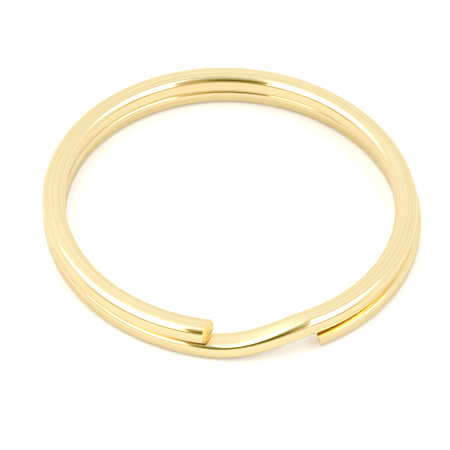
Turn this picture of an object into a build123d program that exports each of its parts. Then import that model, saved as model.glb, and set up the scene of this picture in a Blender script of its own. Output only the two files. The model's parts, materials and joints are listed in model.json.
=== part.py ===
from build123d import *
from math import asin, atan, cos, degrees, radians, sin
import os

# Split key ring: one spring wire wound into two coils that lie flat on each
# other, joined by a crossover at the front where the wire steps down from the
# upper coil to the lower one.
#
# Frame, in millimetres: +Z is the ring's axis, the origin is the ring's centre
# halfway up, and the crossover is at the front (-Y).  Both coils follow one
# rule: the lower coil is made like the upper one, a little wider, and turned
# over by half a turn about the Y axis.  Places round the ring are named as on a
# clock face seen from above, with the crossover at 6 o'clock.
#
# The wire is springy all along, so it is divided into lengths that bend about
# each other.  A coil's lengths are numbered from the crossover to its cut end.

# ---- Driving dimensions -------------------------------------------------
ring_diameter = 30.0       # outside, across the upper coil
lower_spread = 0.15        # the lower coil's radius is larger by this
wire_width = 1.80          # radial size of the flattened wire
wire_height = 1.45         # size of the wire along the ring's axis
wire_corner = 0.50         # rounding of the wire's four long edges
coil_gap = 0.06            # air between the two coils at rest
coil_offset = 0.125        # each coil's centre lies this far beside the axis
crossover_angle = 34.5     # part of the turn where the wire is single, degrees
bend_clearance = 0.04      # air between two lengths that bend about each other
end_slant = 17.0           # slant of the cuts: inner edge longer above, outer below
end_lean = 10.0            # lean of the cuts: longer where a coil faces the other
end_spare = 1.5            # extra wire beyond a cut, before it is cut
nail_lead = 0.20           # a cut end is thinned by this, facing the other coil
nail_lead_length = 9.0     # how far back from the end the thinning starts
end_lift = 3.0             # how far a nail or a key lifts a cut end

# ---- Division of a coil into lengths --------------------------------------
fixed_hours = [5, 4, 3, 2, 1]
bending_hours = [12, 11, 10, 9, 8, 7]

# ---- Sizes that follow ------------------------------------------------------
upper_radius = (ring_diameter - wire_width) / 2
lower_radius = upper_radius + lower_spread
coil_level = (wire_height + coil_gap) / 2
front_angle = -90.0
coil_start = front_angle + crossover_angle / 2
coil_end = front_angle - crossover_angle / 2 + 360.0
length_arc = (coil_end - coil_start) / len(fixed_hours + bending_hours)
clearance_arc = degrees(asin(bend_clearance / 2 / upper_radius))
crossover_points = 13
crossover_sections = 9


def coil_point(radius, angle):
    """A point on a coil's centre line, as the upper coil, at an angle from above."""
    x = radius * cos(radians(angle)) - coil_offset
    y = radius * sin(radians(angle))
    return Vector(x, y, coil_level)


def level_direction(angle):
    """The level unit vector that points at an angle seen from above."""
    return Vector(cos(radians(angle)), sin(radians(angle)), 0)


def wire_section():
    """The wire's section with its four rounded edges."""
    return RectangleRounded(wire_width, wire_height, wire_corner)


def coil_length(radius, start, end):
    """A coil's wire from one angle to another."""
    section = Plane.XZ * Pos(radius, coil_level) * wire_section()
    wire = revolve(section, axis=Axis.Z, revolution_arc=end - start)
    return Pos(-coil_offset, 0, 0) * Rot(0, 0, start) * wire


def cut_plane(radius, slant):
    """The plane that cuts a coil's end, on a slant and leaning."""
    level_normal = level_direction(coil_end + 90 - slant)
    normal = level_normal * cos(radians(end_lean)) + Vector(0, 0, sin(radians(end_lean)))
    return Plane(origin=coil_point(radius, coil_end), z_dir=normal)


def lead_plane(radius):
    """The plane that thins a coil's end, below the coil."""
    outwards = level_direction(coil_end)
    slope = degrees(atan(nail_lead / nail_lead_length))
    below = Vector(0, 0, wire_height / 2 - nail_lead)
    return Plane(
        origin=coil_point(radius, coil_end) - below,
        x_dir=outwards,
        z_dir=Vector(0, 0, 1).rotate(Axis((0, 0, 0), outwards), slope),
    )


def crossover():
    """The single wire at the front, stepping from the upper coil to the lower."""
    points = []
    for number in range(crossover_points):
        part = number / (crossover_points - 1)
        drop = part * part * (3 - 2 * part)
        angle = coil_start - crossover_angle * part
        radius = upper_radius + lower_spread * drop
        x = radius * cos(radians(angle)) + coil_offset * (2 * drop - 1)
        y = radius * sin(radians(angle))
        points.append(Vector(x, y, coil_level * (1 - 2 * drop)))
    start_direction = level_direction(coil_start - 90)
    end_direction = level_direction(coil_start - crossover_angle - 90)
    path = Spline(points, tangents=[start_direction, end_direction])
    sections = []
    for number in range(crossover_sections):
        part = number / (crossover_sections - 1)
        along = path.tangent_at(part)
        outwards = Vector(0, 0, 1).cross(along)
        place = Plane(origin=path.position_at(part), x_dir=outwards, z_dir=along)
        sections.append(place * wire_section())
    return loft(sections)


def coil(radius, slant):
    """A coil's lengths by name, as the upper coil, from the crossover to its end."""
    lengths = {}
    for number, hour in enumerate(fixed_hours + bending_hours):
        start = coil_start + number * length_arc
        end = start + length_arc
        if hour in bending_hours:
            start += clearance_arc
        if hour in bending_hours or hour == fixed_hours[-1]:
            end -= clearance_arc
        lengths[f"{hour}_oclock"] = coil_length(radius, start, end)
    lengths.popitem()
    start = coil_end - length_arc + clearance_arc
    whole = coil_length(radius, start, coil_end + degrees(end_spare / radius))
    lengths["free_end"] = split(whole, bisect_by=cut_plane(radius, slant), keep=Keep.BOTTOM)
    for name in list(lengths)[-2:]:
        lengths[name] = split(lengths[name], bisect_by=lead_plane(radius), keep=Keep.TOP)
    return lengths


def turned_over(shape):
    """The same piece on the other coil: half a turn about the Y axis."""
    return Rot(0, 180, 0) * shape


def opposite_name(name):
    """A length's name once its coil is turned over: 5 o'clock becomes 7."""
    if name == "free_end":
        return name
    hour = int(name.split("_")[0])
    return f"{12 - hour or 12}_oclock"


def bends(radius):
    """Point, axis and largest angle of each bend of a coil, as the upper coil.

    A push along Z at the cut end bends each place of the wire in proportion to
    its distance from the end, about the level line square to that distance.
    """
    tip = coil_point(radius, coil_end)
    points = []
    for number in range(len(bending_hours)):
        angle = coil_end - (len(bending_hours) - number) * length_arc
        points.append(coil_point(radius, angle))
    arms = [tip - point for point in points]
    angle_per_arm = end_lift / sum(arm.length**2 for arm in arms)
    found = []
    for point, arm in zip(points, arms):
        axis = arm.cross(Vector(0, 0, 1)).normalized()
        found.append((point, axis, degrees(angle_per_arm * arm.length)))
    return found


os.makedirs("parts", exist_ok=True)
export_step(crossover(), "parts/crossover.step")
for name, wire in coil(upper_radius, end_slant).items():
    export_step(wire, f"parts/upper_{name}.step")
for name, wire in coil(lower_radius, -end_slant).items():
    export_step(turned_over(wire), f"parts/lower_{opposite_name(name)}.step")
for radius in (upper_radius, lower_radius):
    for hour, (point, axis, angle) in zip(bending_hours, bends(radius)):
        print(f"bend before {hour} o'clock at {point}, axis {axis}, up to {angle:.3f} degrees")
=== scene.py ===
import json
import math

import bpy
import numpy as np
from mathutils import Matrix, Vector


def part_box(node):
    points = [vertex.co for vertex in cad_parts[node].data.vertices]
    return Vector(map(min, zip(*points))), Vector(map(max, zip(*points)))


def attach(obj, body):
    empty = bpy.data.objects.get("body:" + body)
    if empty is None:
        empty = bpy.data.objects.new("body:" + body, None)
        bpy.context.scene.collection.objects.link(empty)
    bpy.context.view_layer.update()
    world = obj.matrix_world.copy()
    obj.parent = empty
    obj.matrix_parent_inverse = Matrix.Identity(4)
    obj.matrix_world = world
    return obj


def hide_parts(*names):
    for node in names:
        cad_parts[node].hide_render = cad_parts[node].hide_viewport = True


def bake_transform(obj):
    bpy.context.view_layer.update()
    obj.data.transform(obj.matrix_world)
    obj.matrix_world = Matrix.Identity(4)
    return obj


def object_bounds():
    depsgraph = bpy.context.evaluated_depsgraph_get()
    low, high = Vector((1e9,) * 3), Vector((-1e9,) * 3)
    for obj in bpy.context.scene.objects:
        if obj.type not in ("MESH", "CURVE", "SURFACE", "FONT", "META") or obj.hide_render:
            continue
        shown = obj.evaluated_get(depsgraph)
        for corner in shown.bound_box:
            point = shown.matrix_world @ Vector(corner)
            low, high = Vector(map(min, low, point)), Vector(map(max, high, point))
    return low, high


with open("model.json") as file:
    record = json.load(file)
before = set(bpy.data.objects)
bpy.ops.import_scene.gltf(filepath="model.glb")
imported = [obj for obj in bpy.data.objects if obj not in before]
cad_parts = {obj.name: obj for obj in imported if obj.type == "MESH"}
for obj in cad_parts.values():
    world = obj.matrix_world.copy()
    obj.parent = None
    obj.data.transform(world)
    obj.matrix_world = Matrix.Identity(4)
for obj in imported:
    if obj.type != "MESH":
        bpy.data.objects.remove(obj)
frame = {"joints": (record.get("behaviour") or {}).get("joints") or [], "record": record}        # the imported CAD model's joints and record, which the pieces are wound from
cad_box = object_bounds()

bl_info = {
    "name": "Split Key Ring",
    "version": (1, 0, 0),
    "blender": (4, 5, 0),
    "location": "View3D > Sidebar > Split Ring",
    "description": "Winds a gold-plated spring wire into a split key ring that bends at its CAD hinges",
    "category": "Add Mesh",
}

# A place along the wire is a turn: the angle wound from the middle of the crossover,
# negative on the upper coil and positive on the lower one. Both coils follow one rule; the
# lower one is a little wider.

ROOT_BODY = "crossover_and_seated_coils"
MM = 0.001


# ---- What the CAD model says ------------------------------------------------------------

def bends_of(coil):
    """The CAD hinges of one coil, from the seated part to the cut end."""
    return [joint for joint in frame["joints"] if joint["child"].startswith(coil)]


def coil_circle(joints):
    """Centre x and radius of the circle that a coil's hinges stand on."""
    places = np.array([joint["pos_m"] for joint in joints])
    known = np.column_stack([2 * places[:, 0], np.ones(len(places))])
    centre_x, rest = np.linalg.lstsq(known, (places[:, :2] ** 2).sum(axis=1), rcond=None)[0]
    return float(centre_x), math.sqrt(rest + centre_x**2)


UPPER_RADIUS = coil_circle(bends_of("upper_"))[1]
LOWER_X, LOWER_RADIUS = coil_circle(bends_of("lower_"))
COIL_LEVEL = bends_of("upper_")[0]["pos_m"][2]
WIRE_HEIGHT = cad_box[1].z - cad_box[0].z - 2 * COIL_LEVEL
WIRE_WIDTH = 2 * (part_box("upper_12_oclock")[1].y - UPPER_RADIUS)


def hinge_turn(joint):
    """The turn of a lower coil's hinge."""
    x, y, _ = joint["pos_m"]
    return math.atan2(LOWER_X - x, -y) % math.tau


HINGE_TURNS = [hinge_turn(joint) for joint in bends_of("lower_")]
LENGTH_TURN = HINGE_TURNS[1] - HINGE_TURNS[0]
CUT_TURN = HINGE_TURNS[-1] + LENGTH_TURN
CROSSOVER_TURN = 2 * (math.tau - CUT_TURN)


# ---- Settings ----------------------------------------------------------------------------

class RingSizes(bpy.types.PropertyGroup):
    """Sizes of the wound wire."""

    upper_radius: bpy.props.FloatProperty(
        name="Upper radius", description="From the upper coil's centre to the middle of the wire",
        default=UPPER_RADIUS, unit="LENGTH", precision=5)
    lower_radius: bpy.props.FloatProperty(
        name="Lower radius", description="From the lower coil's centre to the middle of the wire",
        default=LOWER_RADIUS, unit="LENGTH", precision=5)
    offset: bpy.props.FloatProperty(
        name="Coil offset", description="How far each coil's centre lies beside the axis",
        default=LOWER_X, unit="LENGTH", precision=5)
    level: bpy.props.FloatProperty(
        name="Coil level", description="Height of a coil's middle above or below the ring's middle",
        default=COIL_LEVEL, unit="LENGTH", precision=5)
    crossover: bpy.props.FloatProperty(
        name="Crossover", description="Part of the turn in which the wire steps between coils",
        default=CROSSOVER_TURN, subtype="ANGLE")
    width: bpy.props.FloatProperty(
        name="Wire width", description="Radial size of the flattened wire",
        default=WIRE_WIDTH, unit="LENGTH", precision=5)
    height: bpy.props.FloatProperty(
        name="Wire height", description="Size of the wire along the ring's axis",
        default=WIRE_HEIGHT, unit="LENGTH", precision=5)
    corner: bpy.props.FloatProperty(
        name="Edge rounding", description="Radius of the wire's four long edges",
        default=0.50 * MM, unit="LENGTH", precision=5)
    crown: bpy.props.FloatProperty(
        name="Crown", description="How far the rolled flats fall from their middle to their edges",
        default=0.05 * MM, unit="LENGTH", precision=6)
    slant: bpy.props.FloatProperty(
        name="End slant", description="Slant of the cuts: inner edge longer above, outer below",
        default=math.radians(17), subtype="ANGLE")
    lean: bpy.props.FloatProperty(
        name="End lean", description="Lean of the cuts: longer where a coil faces the other",
        default=math.radians(10), subtype="ANGLE")
    lead_depth: bpy.props.FloatProperty(
        name="Nail lead depth", description="How much a cut end is thinned on the side facing the other coil",
        default=0.20 * MM, unit="LENGTH", precision=5)
    lead_length: bpy.props.FloatProperty(
        name="Nail lead length", description="How far back from the cut the thinning starts",
        default=9.0 * MM, unit="LENGTH", precision=5)
    cut_rounding: bpy.props.FloatProperty(
        name="Cut rounding", description="Radius that tumbling leaves on the rim of a cut",
        default=0.07 * MM, unit="LENGTH", precision=6)
    burr: bpy.props.FloatProperty(
        name="Burr", description="How far the lip pulled out by the shear stands past the cut",
        default=0.10 * MM, unit="LENGTH", precision=6)


class RingFinish(bpy.types.PropertyGroup):
    """Colours of the plating."""

    plating: bpy.props.FloatVectorProperty(
        name="Plating", description="Colour of the bright plating",
        default=(0.96, 0.815, 0.49), subtype="COLOR", min=0, max=1)
    cut: bpy.props.FloatVectorProperty(
        name="Cut face", description="Colour of the plating on the sheared ends",
        default=(0.97, 0.79, 0.34), subtype="COLOR", min=0, max=1)


class RingStage(bpy.types.PropertyGroup):
    """The floor, the light and the camera."""

    floor: bpy.props.FloatVectorProperty(
        name="Floor", description="Colour of the floor",
        default=(0.77, 0.76, 0.76), subtype="COLOR", min=0, max=1)
    floor_lift: bpy.props.FloatProperty(
        name="Floor lift", description="Extra brightness of the floor where it is seen directly",
        default=0.27, min=0)
    softbox_strength: bpy.props.FloatProperty(
        name="Softbox strength", description="Brightness of the two softboxes' cloth",
        default=2.3, min=0)
    view_turn: bpy.props.FloatProperty(
        name="View turn", description="How far round the ring the camera stands from its front",
        default=math.radians(-12.5), subtype="ANGLE")
    view_rise: bpy.props.FloatProperty(
        name="View rise", description="Angle of the camera above the floor",
        default=math.radians(46.23), subtype="ANGLE")
    view_distance: bpy.props.FloatProperty(
        name="View distance", description="From the camera to the ring's centre",
        default=0.26167, unit="LENGTH", precision=4)
    view_roll: bpy.props.FloatProperty(
        name="View roll", description="How far the camera is tipped sideways",
        default=math.radians(2.99), subtype="ANGLE")
    lens: bpy.props.FloatProperty(
        name="Lens", description="Focal length in millimetres on a 36 mm sensor", default=260.8)


# ---- Nodes --------------------------------------------------------------------------------

def fill(tree, socket, value):
    """Gives an input a number, or another node's output."""
    if isinstance(value, Value):
        value = value.socket
    if isinstance(value, bpy.types.NodeSocket):
        tree.links.new(value, socket)
    else:
        socket.default_value = value


def add(tree, kind, inputs=None, **settings):
    """A node of this kind with these settings and inputs."""
    made = tree.nodes.new(kind)
    for name, setting in settings.items():
        setattr(made, name, setting)
    for name, value in (inputs or {}).items():
        fill(tree, made.inputs[name], value)
    return made


class Value:
    """A number that runs through a tree, so that a rule reads as arithmetic."""

    def __init__(self, tree, socket):
        self.tree = tree
        self.socket = socket

    def maths(self, operation, *others):
        made = add(self.tree, "ShaderNodeMath", operation=operation)
        for socket, value in zip(made.inputs, (self, *others)):
            fill(self.tree, socket, value)
        return Value(self.tree, made.outputs[0])

    def __add__(self, other):
        return self.maths("ADD", other)

    def __radd__(self, other):
        return self.maths("ADD", other)

    def __sub__(self, other):
        return self.maths("SUBTRACT", other)

    def __rsub__(self, other):
        return self.maths("MULTIPLY", -1).maths("ADD", other)

    def __mul__(self, other):
        return self.maths("MULTIPLY", other)

    def __rmul__(self, other):
        return self.maths("MULTIPLY", other)

    def __truediv__(self, other):
        return self.maths("DIVIDE", other)

    def __neg__(self):
        return self.maths("MULTIPLY", -1)

    def step(self, low, high):
        """0 below low, 1 above high, and smooth between them."""
        made = add(self.tree, "ShaderNodeMapRange", {"Value": self}, interpolation_type="SMOOTHSTEP")
        fill(self.tree, made.inputs["From Min"], low)
        fill(self.tree, made.inputs["From Max"], high)
        return Value(self.tree, made.outputs[0])


def vector(tree, x, y, z):
    """A vector from three numbers."""
    return add(tree, "ShaderNodeCombineXYZ", {"X": x, "Y": y, "Z": z}).outputs[0]


def vector_maths(tree, operation, *values):
    """A sum, product or length of vectors."""
    made = add(tree, "ShaderNodeVectorMath", operation=operation)
    names = {"SCALE": ("Vector", "Scale")}.get(operation)
    sockets = [made.inputs[name] for name in names] if names else made.inputs
    for socket, value in zip(sockets, values):
        fill(tree, socket, value)
    return made.outputs["Value" if operation in ("LENGTH", "DOT_PRODUCT") else "Vector"]


def parts(tree, socket):
    """A vector's three numbers."""
    split = add(tree, "ShaderNodeSeparateXYZ", {"Vector": socket})
    return [Value(tree, output) for output in split.outputs]


# ---- The wound wire ------------------------------------------------------------------------

WINDING_INPUTS = [
    ("Start", "NodeSocketFloat"), ("End", "NodeSocketFloat"), ("Cut", "NodeSocketFloat"),
    ("Upper radius", "NodeSocketFloat"), ("Lower radius", "NodeSocketFloat"),
    ("Offset", "NodeSocketFloat"), ("Level", "NodeSocketFloat"),
    ("Crossover", "NodeSocketFloat"), ("Width", "NodeSocketFloat"), ("Height", "NodeSocketFloat"),
    ("Corner", "NodeSocketFloat"), ("Crown", "NodeSocketFloat"), ("Slant", "NodeSocketFloat"),
    ("Lean", "NodeSocketFloat"), ("Lead depth", "NodeSocketFloat"), ("Lead length", "NodeSocketFloat"),
    ("Cut rounding", "NodeSocketFloat"), ("Burr", "NodeSocketFloat"), ("Step", "NodeSocketFloat"),
    ("Around", "NodeSocketInt"), ("Wire finish", "NodeSocketMaterial"),
    ("Cut finish", "NodeSocketMaterial"),
]
SEAM_ANGLE = math.radians(55)       # edges sharper than this are shaded crisp
SLANT_FADE = 1.2 * MM               # how far back from the cut the slant dies away
POINTS_AROUND = 72                  # points round the wire's outline
CORNER_POINTS = 24                  # points on each rounded corner before they are spaced evenly
SMALLEST_SHARE = 0.01               # least size of the outline where a cut is folded over
TINY = 1e-9                         # keeps a division away from zero
SQUARER_POWER = 3                   # 2 is a round corner, more is squarer
CROWN_BAND = (0.7, 1.0)             # share of half the height over which the crown comes in
LEAD_BLEND = 0.04 * MM              # softening where the nail lead meets the wire's face
TORN_GRAINS = 9000.0                # torn grains in a metre
TORN_DEPTH = 0.05 * MM              # middle depth of the tearing, and its spread
TORN_EDGE = 0.05 * MM               # how far in from a cut's rim the tearing comes in
TORN_BAND = (-0.1, 0.25)            # share of half the height over which the tearing comes in
LIP_BAND = (0.62, 0.95)             # share of half the height over which the lip comes in
LIP_LENGTH = 0.25 * MM              # how far back from the cut the lip starts
LIP_RAGGEDNESS = 1.4                # how unevenly the lip was pulled out
CUT_FACE_START = 0.01 * MM          # past the cut by more than this is the cut's face
SEATED_STEP = 0.08 * MM             # spacing of points along the seated wire
SPRINGING_STEP = 0.06 * MM          # spacing along the springing wire
END_STEP = 0.02 * MM                # spacing along the stretch with a cut


def wire_profile(tree, size, around):
    """The flattened wire's outline: a rectangle with round corners; the crown is added as the wire is wound.
    """
    outline = add(tree, "GeometryNodeCurvePrimitiveQuadrilateral",
                  {"Width": size["Width"], "Height": size["Height"]})
    rounded = add(tree, "GeometryNodeFilletCurve",
                  {"Curve": outline.outputs[0], "Radius": size["Corner"], "Count": CORNER_POINTS},
                  mode="POLY")
    return add(tree, "GeometryNodeResampleCurve", {"Curve": rounded.outputs[0], "Count": around}).outputs[0]


def straight_wire(tree, size):
    """The wire before winding: X along it, Y outwards and Z up, with its cuts folded over."""
    radius, half = size["Upper radius"], size["Height"] / 2
    first, last = size["Start"] * radius, size["End"] * radius
    line = add(tree, "GeometryNodeCurvePrimitiveLine",
               {"Start": vector(tree, first, 0, 0), "End": vector(tree, last, 0, 0)})
    count = ((last - first) / size["Step"]).maths("CEIL") + 1
    rings = add(tree, "GeometryNodeResampleCurve", {"Curve": line.outputs[0], "Count": count})
    reach = parts(tree, add(tree, "GeometryNodeInputPosition").outputs[0])[0].maths("ABSOLUTE")
    cut = size["Cut"] * radius
    rounding = size["Cut rounding"]
    to_cut = (cut - reach).maths("MAXIMUM", 0)
    past_cut = (reach - cut).maths("MAXIMUM", 0)
    short = (rounding - to_cut).maths("MAXIMUM", 0)
    inset = rounding - (rounding * rounding - short * short).maths("SQRT")
    inset = inset + past_cut * (1 - rounding / half)
    share = (1 - inset / half).maths("MAXIMUM", SMALLEST_SHARE)
    sized = add(tree, "GeometryNodeSetCurveRadius", {"Curve": rings.outputs[0], "Radius": share})
    level = add(tree, "GeometryNodeSetCurveNormal", {"Curve": sized.outputs[0]}, mode="Z_UP")
    return add(tree, "GeometryNodeCurveToMesh",
               {"Curve": level.outputs[0], "Profile Curve": wire_profile(tree, size, size["Around"]),
                "Fill Caps": True}).outputs[0]


def lowered(turn, crossover):
    """How far through its drop the wire is at a turn: 0 in the upper coil, 1 in the lower."""
    part = (turn / crossover + 0.5).maths("MINIMUM", 1).maths("MAXIMUM", 0)
    return part, part * part * (3 - 2 * part)


def squarer_corners(size, along, outward, up):
    """The wire's place with the edges that face the other coil left squarer by the tumbling."""
    _, drop = lowered(along / size["Upper radius"], size["Crossover"])
    above = up.maths("GREATER_THAN", 0)
    faces_coil = above * drop + (1 - above) * (1 - drop)
    flat_width = size["Width"] / 2 - size["Corner"]
    flat_height = size["Height"] / 2 - size["Corner"]
    across = (outward.maths("ABSOLUTE") - flat_width).maths("MAXIMUM", 0)
    over = (up.maths("ABSOLUTE") - flat_height).maths("MAXIMUM", 0)
    round_reach = (across * across + over * over).maths("SQRT")
    powers = across.maths("POWER", SQUARER_POWER) + over.maths("POWER", SQUARER_POWER)
    square_reach = powers.maths("POWER", 1 / SQUARER_POWER)
    push = (round_reach / square_reach.maths("MAXIMUM", TINY) - 1).maths("MAXIMUM", 0) * faces_coil
    outward = outward + outward.maths("SIGN") * across * push
    up = up + up.maths("SIGN") * over * push
    return outward, up


def winding_tree():
    """The Geometry Nodes tree that makes one stretch of the wound wire."""
    tree = bpy.data.node_groups.new("Wound_wire", "GeometryNodeTree")
    for name, kind in WINDING_INPUTS:
        tree.interface.new_socket(name, in_out="INPUT", socket_type=kind)
    tree.interface.new_socket("Geometry", in_out="OUTPUT", socket_type="NodeSocketGeometry")
    entry = add(tree, "NodeGroupInput")
    size = {name: Value(tree, entry.outputs[name]) for name, _ in WINDING_INPUTS}
    wire = straight_wire(tree, size)

    along, outward, up = parts(tree, add(tree, "GeometryNodeInputPosition").outputs[0])
    place = vector(tree, along, outward, up)
    outward, up = squarer_corners(size, along, outward, up)
    side = 1 - 2 * along.maths("LESS_THAN", 0)
    reach = along.maths("ABSOLUTE")
    cut = size["Cut"] * size["Upper radius"]
    to_cut = (cut - reach).maths("MAXIMUM", 0)
    past_cut = (reach - cut).maths("MAXIMUM", 0)
    half = size["Height"] / 2
    half_width = size["Width"] / 2

    share = outward / half_width
    fallen = size["Crown"] * share * share * (up.maths("ABSOLUTE") / half).step(*CROWN_BAND)
    facing = (up - fallen * up.maths("SIGN")) * side
    lead = half - size["Lead depth"] * (1 - to_cut / size["Lead length"]).maths("MAXIMUM", 0)
    facing = facing.maths("SMOOTH_MIN", lead, LEAD_BLEND)

    grain = add(tree, "ShaderNodeTexNoise", {"Vector": place, "Scale": TORN_GRAINS, "Detail": 3.0})
    grain = Value(tree, grain.outputs[0]) - 0.5
    on_cut = past_cut.step(0, TORN_EDGE)
    torn = (facing / half).step(*TORN_BAND)
    relief = on_cut * torn * (grain * TORN_DEPTH - TORN_DEPTH)
    lip = (facing / half).step(*LIP_BAND) * (1 - to_cut.step(0, LIP_LENGTH))
    relief = relief + lip * size["Burr"] * (1 + grain * LIP_RAGGEDNESS)
    fade = 1 - to_cut.step(0, SLANT_FADE)
    sheared_off = (outward * size["Slant"].maths("TANGENT") + up * size["Lean"].maths("TANGENT")) * fade
    turn = ((reach.maths("MINIMUM", cut) + relief) * side + sheared_off) / size["Upper radius"]

    part, drop = lowered(turn, size["Crossover"])
    rate = 6 * part * (1 - part) / size["Crossover"]
    sine, cosine = turn.maths("SINE"), turn.maths("COSINE")
    spread = size["Lower radius"] - size["Upper radius"]
    radius = size["Upper radius"] + spread * drop
    centre = vector(
        tree,
        size["Offset"] * (2 * drop - 1) - radius * sine,
        -(radius * cosine),
        size["Level"] * (1 - 2 * drop),
    )
    heading = vector(
        tree,
        2 * size["Offset"] * rate - radius * cosine - spread * rate * sine,
        radius * sine - spread * rate * cosine,
        -2 * size["Level"] * rate,
    )
    heading = vector_maths(tree, "NORMALIZE", heading)
    outwards = vector_maths(tree, "NORMALIZE", vector_maths(tree, "CROSS_PRODUCT", (0, 0, 1), heading))
    upwards = vector_maths(tree, "CROSS_PRODUCT", heading, outwards)
    wound = vector_maths(tree, "ADD", centre, vector_maths(tree, "SCALE", outwards, outward))
    wound = vector_maths(tree, "ADD", wound, vector_maths(tree, "SCALE", upwards, facing * side))

    stored = add(tree, "GeometryNodeStoreNamedAttribute",
                 {"Geometry": wire, "Name": "wire_place", "Value": place}, data_type="FLOAT_VECTOR")
    cut_faces = add(tree, "FunctionNodeCompare", {0: past_cut, 1: CUT_FACE_START}, operation="GREATER_THAN")
    plated = add(tree, "GeometryNodeSetMaterial",
                 {"Geometry": stored.outputs[0], "Material": size["Wire finish"]})
    sheared = add(tree, "GeometryNodeSetMaterial",
                  {"Geometry": plated.outputs[0], "Selection": cut_faces.outputs[0],
                   "Material": size["Cut finish"]})
    moved = add(tree, "GeometryNodeSetPosition", {"Geometry": sheared.outputs[0], "Position": wound})
    smooth = add(tree, "GeometryNodeSetShadeSmooth", {"Geometry": moved.outputs[0]})
    angle = Value(tree, add(tree, "GeometryNodeInputMeshEdgeAngle").outputs[0])
    seam = add(tree, "FunctionNodeCompare", {0: angle, 1: SEAM_ANGLE}, operation="GREATER_THAN")
    crisp = add(tree, "GeometryNodeSetShadeSmooth",
                {"Geometry": smooth.outputs[0], "Selection": seam.outputs[0], "Shade Smooth": False},
                domain="EDGE")
    whole = add(tree, "GeometryNodeRealizeInstances", {"Geometry": crisp.outputs[0]})
    add(tree, "NodeGroupOutput", {"Geometry": whole.outputs[0]})
    return tree


def wind(name, start, end, step, finishes):
    """A stretch of the wire from one turn to another, as a closed mesh."""
    sizes = bpy.context.scene.ring_sizes
    tree = bpy.data.node_groups.get("Wound_wire") or winding_tree()
    values = {
        "Start": start, "End": end, "Cut": CUT_TURN, "Upper radius": sizes.upper_radius,
        "Lower radius": sizes.lower_radius, "Offset": sizes.offset, "Level": sizes.level,
        "Crossover": sizes.crossover, "Width": sizes.width, "Height": sizes.height,
        "Corner": sizes.corner, "Crown": sizes.crown, "Slant": sizes.slant, "Lean": sizes.lean,
        "Lead depth": sizes.lead_depth, "Lead length": sizes.lead_length,
        "Cut rounding": sizes.cut_rounding, "Burr": sizes.burr, "Step": step, "Around": POINTS_AROUND,
        "Wire finish": finishes[0], "Cut finish": finishes[1],
    }
    piece = bpy.data.objects.new(name, bpy.data.meshes.new(name))
    bpy.context.scene.collection.objects.link(piece)
    modifier = piece.modifiers.new("Wound_wire", "NODES")
    modifier.node_group = tree
    sockets = {item.name: item.identifier for item in tree.interface.items_tree if item.in_out == "INPUT"}
    for socket, value in values.items():
        modifier[sockets[socket]] = value
    bpy.context.view_layer.update()
    graph = bpy.context.evaluated_depsgraph_get()
    mesh = bpy.data.meshes.new_from_object(piece.evaluated_get(graph), depsgraph=graph)
    piece.modifiers.clear()
    piece.data = mesh
    mesh.name = name
    if not mesh.polygons:
        raise RuntimeError(f"{name} came out empty")
    return piece


# ---- Finishes ------------------------------------------------------------------------------

LINES_PER_METRE = 22000.0           # drawing lines across a metre of surface
LINE_LENGTH = 3.5 * MM              # how long a drawing line runs
PLATING_GRAIN = 0.05 * MM           # size of the plating's orange peel
CUT_GRAIN = 0.12 * MM               # size of it on the sheared ends
CORNER_FADE = 0.3                   # share of a corner over which a flat's matt look fades
WALL_MATT = 0.5                     # how matt the walls are beside the rolled flats
BRIGHT_ROUGHNESS = 0.10             # of the polished corners
MATT_ROUGHNESS = 0.15               # added on the rolled flats
TONE_ROUGHNESS = 0.12               # spread between one band of lines and the next
DULL_BAND = (0.94, 0.92, 0.84)      # a dull band's colour, as a share of the plating's
TONE_BAND = (0.35, 0.65)
PLATING_BUMP = 0.0012 * MM
CUT_ROUGHNESS = 0.28
CUT_ROUGHNESS_SPREAD = 0.3
CUT_BUMP = 0.02 * MM

def drawn_lines_group():
    """Fine lines that the drawing die and the rolls leave along the wire."""
    tree = bpy.data.node_groups.new("Drawn_lines", "ShaderNodeTree")
    for name, kind in (("Place", "NodeSocketVector"), ("Lines per metre", "NodeSocketFloat"),
                       ("Line length", "NodeSocketFloat")):
        tree.interface.new_socket(name, in_out="INPUT", socket_type=kind)
    for name in ("Height", "Tone"):
        tree.interface.new_socket(name, in_out="OUTPUT", socket_type="NodeSocketFloat")
    entry = add(tree, "NodeGroupInput")
    along, outward, up = parts(tree, entry.outputs["Place"])
    lines = Value(tree, entry.outputs["Lines per metre"])
    length = Value(tree, entry.outputs["Line length"])
    place = vector(tree, along / length, outward * lines, up * lines)
    fine = add(tree, "ShaderNodeTexNoise", {"Vector": place, "Scale": 1.0, "Detail": 3.0, "Roughness": 0.6})
    broad = add(tree, "ShaderNodeTexNoise", {"Vector": place, "Scale": 0.23, "Detail": 2.0})
    add(tree, "NodeGroupOutput", {"Height": fine.outputs[0], "Tone": broad.outputs[0]})
    return tree


def micro_grain_group():
    """The faint orange peel and pinholes of electroplated metal."""
    tree = bpy.data.node_groups.new("Plating_grain", "ShaderNodeTree")
    for name, kind in (("Place", "NodeSocketVector"), ("Size", "NodeSocketFloat")):
        tree.interface.new_socket(name, in_out="INPUT", socket_type=kind)
    for name in ("Height", "Pits"):
        tree.interface.new_socket(name, in_out="OUTPUT", socket_type="NodeSocketFloat")
    entry = add(tree, "NodeGroupInput")
    scale = Value(tree, entry.outputs["Size"]).maths("POWER", -1)
    peel = add(tree, "ShaderNodeTexNoise", {"Vector": entry.outputs["Place"], "Scale": scale, "Detail": 4.0})
    cells = add(tree, "ShaderNodeTexVoronoi", {"Vector": entry.outputs["Place"], "Scale": scale * 0.12})
    pits = 1 - Value(tree, cells.outputs["Distance"]).step(0.02, 0.09)
    add(tree, "NodeGroupOutput", {"Height": peel.outputs[0], "Pits": pits})
    return tree


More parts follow.
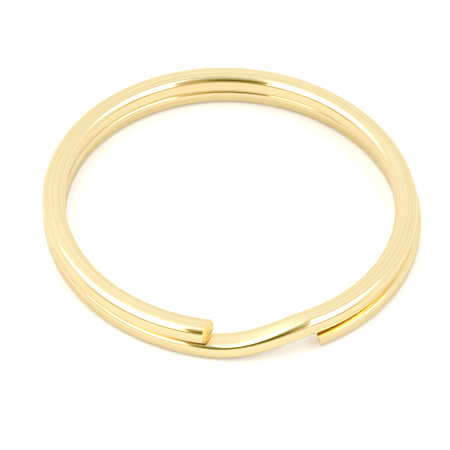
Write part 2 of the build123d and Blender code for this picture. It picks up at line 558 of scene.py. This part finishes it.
def group_node(tree, name, maker, inputs):
    """A node that places a shared effect."""
    made = add(tree, "ShaderNodeGroup", node_tree=bpy.data.node_groups.get(name) or maker())
    for socket, value in inputs.items():
        fill(tree, made.inputs[socket], value)
    return made


def blank_material(name):
    """A material with only its shader and output."""
    material = bpy.data.materials.new(name)
    material.use_nodes = True
    tree = material.node_tree
    shader = tree.nodes["Principled BSDF"]
    return material, tree, shader


def plated_wire(colour, sizes):
    """Bright gold plating over drawn and rolled spring wire."""
    material, tree, shader = blank_material("Gold_plated_wire")
    place = add(tree, "ShaderNodeAttribute", attribute_name="wire_place").outputs["Vector"]
    _, outward, up = parts(tree, place)
    lines = group_node(tree, "Drawn_lines", drawn_lines_group,
                       {"Place": place, "Lines per metre": LINES_PER_METRE, "Line length": LINE_LENGTH})
    grain = group_node(tree, "Plating_grain", micro_grain_group, {"Place": place, "Size": PLATING_GRAIN})
    flat_half = sizes.width / 2 - sizes.corner
    wall_half = sizes.height / 2 - sizes.corner
    fade = CORNER_FADE * sizes.corner
    on_top = 1 - outward.maths("ABSOLUTE").step(flat_half, flat_half + fade)
    on_wall = 1 - up.maths("ABSOLUTE").step(wall_half, wall_half + fade)
    matt = on_top.maths("MAXIMUM", on_wall * WALL_MATT)
    tone = Value(tree, lines.outputs["Tone"])
    roughness = BRIGHT_ROUGHNESS + matt * MATT_ROUGHNESS + (tone - 0.5) * TONE_ROUGHNESS
    fill(tree, shader.inputs["Roughness"], roughness)
    dark = [part * share for part, share in zip(colour, DULL_BAND)]
    blend = add(tree, "ShaderNodeMix", {"Factor": tone.step(*TONE_BAND)}, data_type="RGBA")
    blend.inputs["A"].default_value = (*dark, 1)
    blend.inputs["B"].default_value = (*colour, 1)
    fill(tree, shader.inputs["Base Color"], blend.outputs["Result"])
    height = Value(tree, lines.outputs["Height"]) * (0.25 + matt * 0.75)
    height = height + Value(tree, grain.outputs["Height"]) * 0.35 - Value(tree, grain.outputs["Pits"]) * 0.6
    bump = add(tree, "ShaderNodeBump", {"Height": height, "Strength": 1.0, "Distance": PLATING_BUMP})
    fill(tree, shader.inputs["Normal"], bump.outputs[0])
    shader.inputs["Metallic"].default_value = 1.0
    return material


def sheared_end(colour):
    """Plating over the torn metal of a sheared end."""
    material, tree, shader = blank_material("Gold_plated_cut")
    place = add(tree, "ShaderNodeAttribute", attribute_name="wire_place").outputs["Vector"]
    grain = group_node(tree, "Plating_grain", micro_grain_group, {"Place": place, "Size": CUT_GRAIN})
    peel = Value(tree, grain.outputs["Height"])
    shader.inputs["Base Color"].default_value = (*colour, 1)
    fill(tree, shader.inputs["Roughness"], CUT_ROUGHNESS + (peel - 0.5) * CUT_ROUGHNESS_SPREAD)
    bump = add(tree, "ShaderNodeBump", {"Height": peel, "Strength": 1.0, "Distance": CUT_BUMP})
    fill(tree, shader.inputs["Normal"], bump.outputs[0])
    shader.inputs["Metallic"].default_value = 1.0
    return material


def finishes():
    """The wire's finish and the cut ends' finish, made once."""
    finish = bpy.context.scene.ring_finish
    sizes = bpy.context.scene.ring_sizes
    plated = bpy.data.materials.get("Gold_plated_wire") or plated_wire(finish.plating, sizes)
    sheared = bpy.data.materials.get("Gold_plated_cut") or sheared_end(finish.cut)
    return plated, sheared


# ---- Stage ---------------------------------------------------------------------------------

TENT_LIGHT = 0.98                   # brightness of the tent's white cloth
OVERHEAD_DIMMING = 0.28
OPENING_DIMMING = 0.85              # at the camera's opening
DIM_CLOTH = 0.38                    # how much darker the dim cloth is than the white
DIM_CLOTH_AHEAD = (1.0, 0.90, 0.20, 1)
DIM_CLOTH_ASIDE = (1.0, 0.70, 0.52, 1)
RIM_AHEAD = 0.50                    # how high the front cloth reaches, as the sine of its elevation
RIM_FALL = 0.20                     # how much lower it is at the sides
RIM_SHARPNESS = 8
FLOOR_HALF = 3.0
AIM = (-0.306 * MM, -1.232 * MM, 0)    # of the camera, in the view's turned frame

def white_room():
    """A pale tent round the table, dimmer overhead and at the camera's opening."""
    stage = bpy.context.scene.ring_stage
    world = bpy.data.worlds.new("White_tent")
    bpy.context.scene.world = world
    world.use_nodes = True
    tree = world.node_tree
    towards = add(tree, "ShaderNodeTexCoord").outputs["Generated"]
    turned = add(tree, "ShaderNodeVectorRotate", {"Vector": towards, "Angle": -stage.view_turn},
                 rotation_type="Z_AXIS").outputs[0]
    x, y, z = parts(tree, turned)
    # overhead, between the two softboxes, the tent is a little dimmer
    sideways = x.maths("ABSOLUTE")
    overhead = (-y).step(-0.72, -0.20) * (1 - sideways.step(0.10, 0.45)) * OVERHEAD_DIMMING
    # round the camera's dark opening the tent is dim yellow cloth
    camera_way = (0.0, -math.cos(stage.view_rise), math.sin(stage.view_rise))
    nearness = Value(tree, vector_maths(tree, "DOT_PRODUCT", turned, camera_way))
    opening = nearness.step(math.cos(math.radians(18)), math.cos(math.radians(11)))
    collar = nearness.step(math.cos(math.radians(38)), math.cos(math.radians(27)))
    # low in front the tent ends in dim cloth, tall before the ring and narrow at its sides
    aside = sideways.step(0.15, 0.60)
    rim = RIM_AHEAD - RIM_FALL * aside
    above_rim = ((z - rim) * RIM_SHARPNESS + 0.5).maths("MAXIMUM", 0).maths("MINIMUM", 1)
    front = (-y).step(0.05, 0.40) * (1 - above_rim)
    dim = front.maths("MAXIMUM", collar)
    light = (TENT_LIGHT - overhead) * (1 - dim * DIM_CLOTH) * (1 - opening * OPENING_DIMMING)
    cloth = add(tree, "ShaderNodeMix", {"Factor": aside}, data_type="RGBA")
    cloth.inputs["A"].default_value = DIM_CLOTH_AHEAD
    cloth.inputs["B"].default_value = DIM_CLOTH_ASIDE
    warm = add(tree, "ShaderNodeMix", {"Factor": dim, "B": cloth.outputs["Result"]}, data_type="RGBA")
    warm.inputs["A"].default_value = (1.0, 1.0, 1.0, 1)
    background = tree.nodes["Background"]
    fill(tree, background.inputs["Color"], warm.outputs["Result"])
    fill(tree, background.inputs["Strength"], light)


# Each softbox hangs level over the ring. Its middle, width, length and turn are given for
# a height of 1, in the camera's turned frame.
SOFTBOX_HEIGHT = 0.45
SOFTBOXES = {
    "softbox_left": ((-0.72, -0.62), (0.80, 2.3), math.radians(-14)),
    "softbox_right": ((0.98, -0.62), (0.54, 2.3), math.radians(32)),
}


def softbox(name, middle, size, lean):
    """A soft rectangular light that hangs level and faces straight down."""
    stage = bpy.context.scene.ring_stage
    data = bpy.data.lights.new(name, "AREA")
    data.shape = "RECTANGLE"
    data.size, data.size_y = (SOFTBOX_HEIGHT * side for side in size)
    data.energy = stage.softbox_strength * math.pi * data.size * data.size_y
    lamp = bpy.data.objects.new(name, data)
    place = Matrix.Translation((SOFTBOX_HEIGHT * middle[0], SOFTBOX_HEIGHT * middle[1], SOFTBOX_HEIGHT))
    lamp.matrix_world = Matrix.Rotation(stage.view_turn, 4, "Z") @ place @ Matrix.Rotation(lean, 4, "Z")
    bpy.context.scene.collection.objects.link(lamp)


def pale_floor(colour, lift):
    """A plain pale floor under the ring."""
    bottom = cad_box[0].z
    half = FLOOR_HALF
    mesh = bpy.data.meshes.new("floor")
    corners = [(-half, -half, bottom), (half, -half, bottom), (half, half, bottom), (-half, half, bottom)]
    mesh.from_pydata(corners, [], [(0, 1, 2, 3)])
    floor = bpy.data.objects.new("floor", mesh)
    bpy.context.scene.collection.objects.link(floor)
    material, tree, shader = blank_material("Pale_paper")
    place = add(tree, "ShaderNodeTexCoord").outputs["Object"]
    fibres = add(tree, "ShaderNodeTexNoise", {"Vector": place, "Scale": 900.0, "Detail": 3.0})
    shader.inputs["Base Color"].default_value = (*colour, 1)
    fill(tree, shader.inputs["Roughness"], 0.7 + Value(tree, fibres.outputs[0]) * 0.1)
    shader.inputs["Specular IOR Level"].default_value = 0.2
    shader.inputs["Emission Color"].default_value = (1.0, 0.98, 0.98, 1)
    seen = Value(tree, add(tree, "ShaderNodeLightPath").outputs["Is Camera Ray"])
    fill(tree, shader.inputs["Emission Strength"], seen * lift)
    mesh.materials.append(material)


def studio_camera():
    """A long lens that looks down on the ring from its front."""
    stage = bpy.context.scene.ring_stage
    turned = Matrix.Rotation(stage.view_turn, 4, "Z")
    shift = Vector((-LOWER_X, 0, -COIL_LEVEL))
    rise = stage.view_rise
    place = turned @ (stage.view_distance * Vector((0, -math.cos(rise), math.sin(rise)))) + shift
    target = turned @ Vector(AIM) + shift
    data = bpy.data.cameras.new("camera")
    data.sensor_width = 36
    data.lens = stage.lens
    data.clip_start, data.clip_end = 0.01, 10
    camera = bpy.data.objects.new("camera", data)
    aim = (target - place).to_track_quat("-Z", "Y").to_matrix().to_4x4()
    roll = Matrix.Rotation(stage.view_roll, 4, "Z")
    camera.matrix_world = Matrix.Translation(place) @ aim @ roll
    bpy.context.scene.collection.objects.link(camera)
    bpy.context.scene.camera = camera


# ---- Operators -----------------------------------------------------------------------------

class RING_OT_seated_wire(bpy.types.Operator):
    """Wind the crossover and the parts of both coils that rest on each other"""

    bl_idname = "split_ring.seated_wire"
    bl_label = "Seated wire"

    def execute(self, context):
        half = HINGE_TURNS[0] - LENGTH_TURN / 2
        piece = wind("crossover_and_seated_wire", -half, half, SEATED_STEP, finishes())
        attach(piece, ROOT_BODY)
        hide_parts(*sorted(frame["record"]["behaviour"]["bodies"][ROOT_BODY]))
        return {"FINISHED"}


class RING_OT_springing_wire(bpy.types.Operator):
    """Wind the springing part of both coils, one stretch over each hinge"""

    bl_idname = "split_ring.springing_wire"
    bl_label = "Springing wire"

    def execute(self, context):
        sizes = context.scene.ring_sizes
        fold = sizes.height / 2 / sizes.upper_radius
        for coil, side in (("upper_", -1), ("lower_", 1)):
            for joint, hinge in zip(bends_of(coil), HINGE_TURNS):
                last = hinge == HINGE_TURNS[-1]
                start, end = hinge - LENGTH_TURN / 2, hinge + LENGTH_TURN / 2
                if last:
                    end = CUT_TURN + fold
                step = END_STEP if last else SPRINGING_STEP
                span = sorted((side * start, side * end))
                piece = wind("wire_" + joint["child"], *span, step, finishes())
                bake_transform(piece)
                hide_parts(joint["child"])
        return {"FINISHED"}


class RING_OT_stage(bpy.types.Operator):
    """Set up the floor, the light and the camera"""

    bl_idname = "split_ring.stage"
    bl_label = "Stage"

    def execute(self, context):
        stage = context.scene.ring_stage
        context.scene.view_settings.view_transform = "Standard"
        context.scene.cycles.glossy_bounces = 8
        white_room()
        for name, (middle, size, lean) in SOFTBOXES.items():
            softbox(name, middle, size, lean)
        pale_floor(stage.floor, stage.floor_lift)
        studio_camera()
        return {"FINISHED"}


class RING_PT_sidebar(bpy.types.Panel):
    """The ring's steps and settings"""

    bl_label = "Split Key Ring"
    bl_idname = "RING_PT_sidebar"
    bl_space_type = "VIEW_3D"
    bl_region_type = "UI"
    bl_category = "Split Ring"

    def draw(self, context):
        for step in STEPS:
            self.layout.operator(step.bl_idname)
        for group in (context.scene.ring_sizes, context.scene.ring_finish, context.scene.ring_stage):
            for name in group.bl_rna.properties.keys():
                if name not in ("rna_type", "name"):
                    self.layout.prop(group, name)


STEPS = (RING_OT_stage, RING_OT_seated_wire, RING_OT_springing_wire)
CLASSES = (RingSizes, RingFinish, RingStage, *STEPS, RING_PT_sidebar)


def register():
    for part in CLASSES:
        bpy.utils.register_class(part)
    bpy.types.Scene.ring_sizes = bpy.props.PointerProperty(type=RingSizes)
    bpy.types.Scene.ring_finish = bpy.props.PointerProperty(type=RingFinish)
    bpy.types.Scene.ring_stage = bpy.props.PointerProperty(type=RingStage)


def unregister():
    del bpy.types.Scene.ring_stage
    del bpy.types.Scene.ring_finish
    del bpy.types.Scene.ring_sizes
    for part in reversed(CLASSES):
        bpy.utils.unregister_class(part)


def main():
    """Makes the whole ring and its stage."""
    register()
    bpy.ops.split_ring.stage()
    bpy.ops.split_ring.seated_wire()
    bpy.ops.split_ring.springing_wire()


if __name__ == "__main__":
    main()
